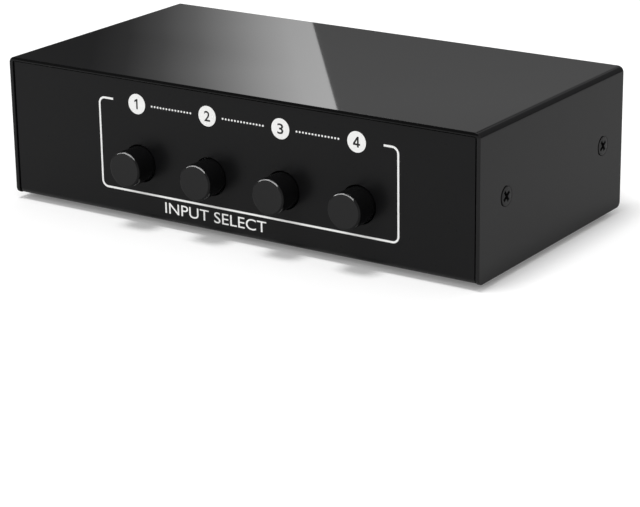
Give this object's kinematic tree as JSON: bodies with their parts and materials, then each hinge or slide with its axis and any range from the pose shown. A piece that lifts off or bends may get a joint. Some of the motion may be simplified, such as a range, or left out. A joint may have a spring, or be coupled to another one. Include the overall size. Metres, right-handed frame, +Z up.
{
  "type": "audio source selector",
  "caption": "Flat black metal box with a row of interlocked push buttons at the front and groups of phono and 3.5 mm sockets at the rear, for choosing one stereo source.",
  "frame": {"origin": "middle of the overall footprint, buttons and sockets included, on the surface the feet stand on", "axes": "+X to the right seen from the button side, +Y from the buttons to the sockets, +Z up"},
  "size_m": [0.137, 0.083, 0.0375],
  "materials": {
    "cover_paint": "satin black paint with a fine texture",
    "panel_paint": "satin black paint, printed in white",
    "black_screw": "black oxide",
    "rubber": "matt",
    "board": "green solder mask",
    "zinc_steel": "zinc plated",
    "black_plastic": "moulded, satin",
    "nickel": "nickel plated, bright",
    "white_plastic": "moulded, satin",
    "red_plastic": "moulded, satin",
    "brass": "plain",
    "nylon": "natural",
    "button_plastic": "moulded, satin"
  },
  "bodies": {
    "case": {"top_cover": "cover_paint", "chassis": "panel_paint", "cover_screws": "black_screw", "socket_screws": "black_screw", "rubber_feet": "rubber", "main_board": "board", "board_standoffs": "zinc_steel", "board_screws": "zinc_steel", "switch_frame": "zinc_steel", "lock_spring": "zinc_steel", "return_spring_1": "zinc_steel", "return_spring_2": "zinc_steel", "return_spring_3": "zinc_steel", "return_spring_4": "zinc_steel", "phono_block_in_4": "black_plastic", "phono_block_in_3": "black_plastic", "phono_block_in_2": "black_plastic", "phono_block_in_1": "black_plastic", "phono_block_out": "black_plastic", "jack_body_in_4": "black_plastic", "jack_body_in_3": "black_plastic", "jack_body_in_2": "black_plastic", "jack_body_in_1": "black_plastic", "jack_body_out": "black_plastic", "switch_body_1": "black_plastic", "switch_body_2": "black_plastic", "switch_body_3": "black_plastic", "switch_body_4": "black_plastic", "phono_shells_in_4": "nickel", "phono_shells_in_3": "nickel", "phono_shells_in_2": "nickel", "phono_shells_in_1": "nickel", "phono_shells_out": "nickel", "jack_ring_in_4": "nickel", "jack_ring_in_3": "nickel", "jack_ring_in_2": "nickel", "jack_ring_in_1": "nickel", "jack_ring_out": "nickel", "white_insert_in_4": "white_plastic", "white_insert_in_3": "white_plastic", "white_insert_in_2": "white_plastic", "white_insert_in_1": "white_plastic", "white_insert_out": "white_plastic", "red_insert_in_4": "red_plastic", "red_insert_in_3": "red_plastic", "red_insert_in_2": "red_plastic", "red_insert_in_1": "red_plastic", "red_insert_out": "red_plastic", "phono_contacts": "brass", "jack_contacts": "brass", "switch_terminals": "brass"},
    "push_1": {"button_1": "button_plastic", "plunger_1": "nylon"},
    "push_2": {"button_2": "button_plastic", "plunger_2": "nylon"},
    "push_3": {"button_3": "button_plastic", "plunger_3": "nylon"},
    "push_4": {"button_4": "button_plastic", "plunger_4": "nylon"},
    "lock": {"lock_bar": "zinc_steel"}
  },
  "joints": [
    {"name": "button_1_press", "type": "slide", "parent": "case", "child": "push_1", "axis": [0, 1, 0], "range_m": [0, 0.004], "stiffness_N_per_m": 500, "deforming": ["return_spring_1"]},
    {"name": "button_2_press", "type": "slide", "parent": "case", "child": "push_2", "axis": [0, 1, 0], "range_m": [0, 0.004], "stiffness_N_per_m": 500, "deforming": ["return_spring_2"]},
    {"name": "button_3_press", "type": "slide", "parent": "case", "child": "push_3", "axis": [0, 1, 0], "range_m": [0, 0.004], "stiffness_N_per_m": 500, "deforming": ["return_spring_3"]},
    {"name": "button_4_press", "type": "slide", "parent": "case", "child": "push_4", "axis": [0, 1, 0], "range_m": [0, 0.004], "stiffness_N_per_m": 500, "deforming": ["return_spring_4"]},
    {"name": "lock_bar_slide", "type": "slide", "parent": "case", "child": "lock", "axis": [1, 0, 0], "range_m": [0, 0.0012], "stiffness_N_per_m": 600, "deforming": ["lock_spring"]}
  ]
}
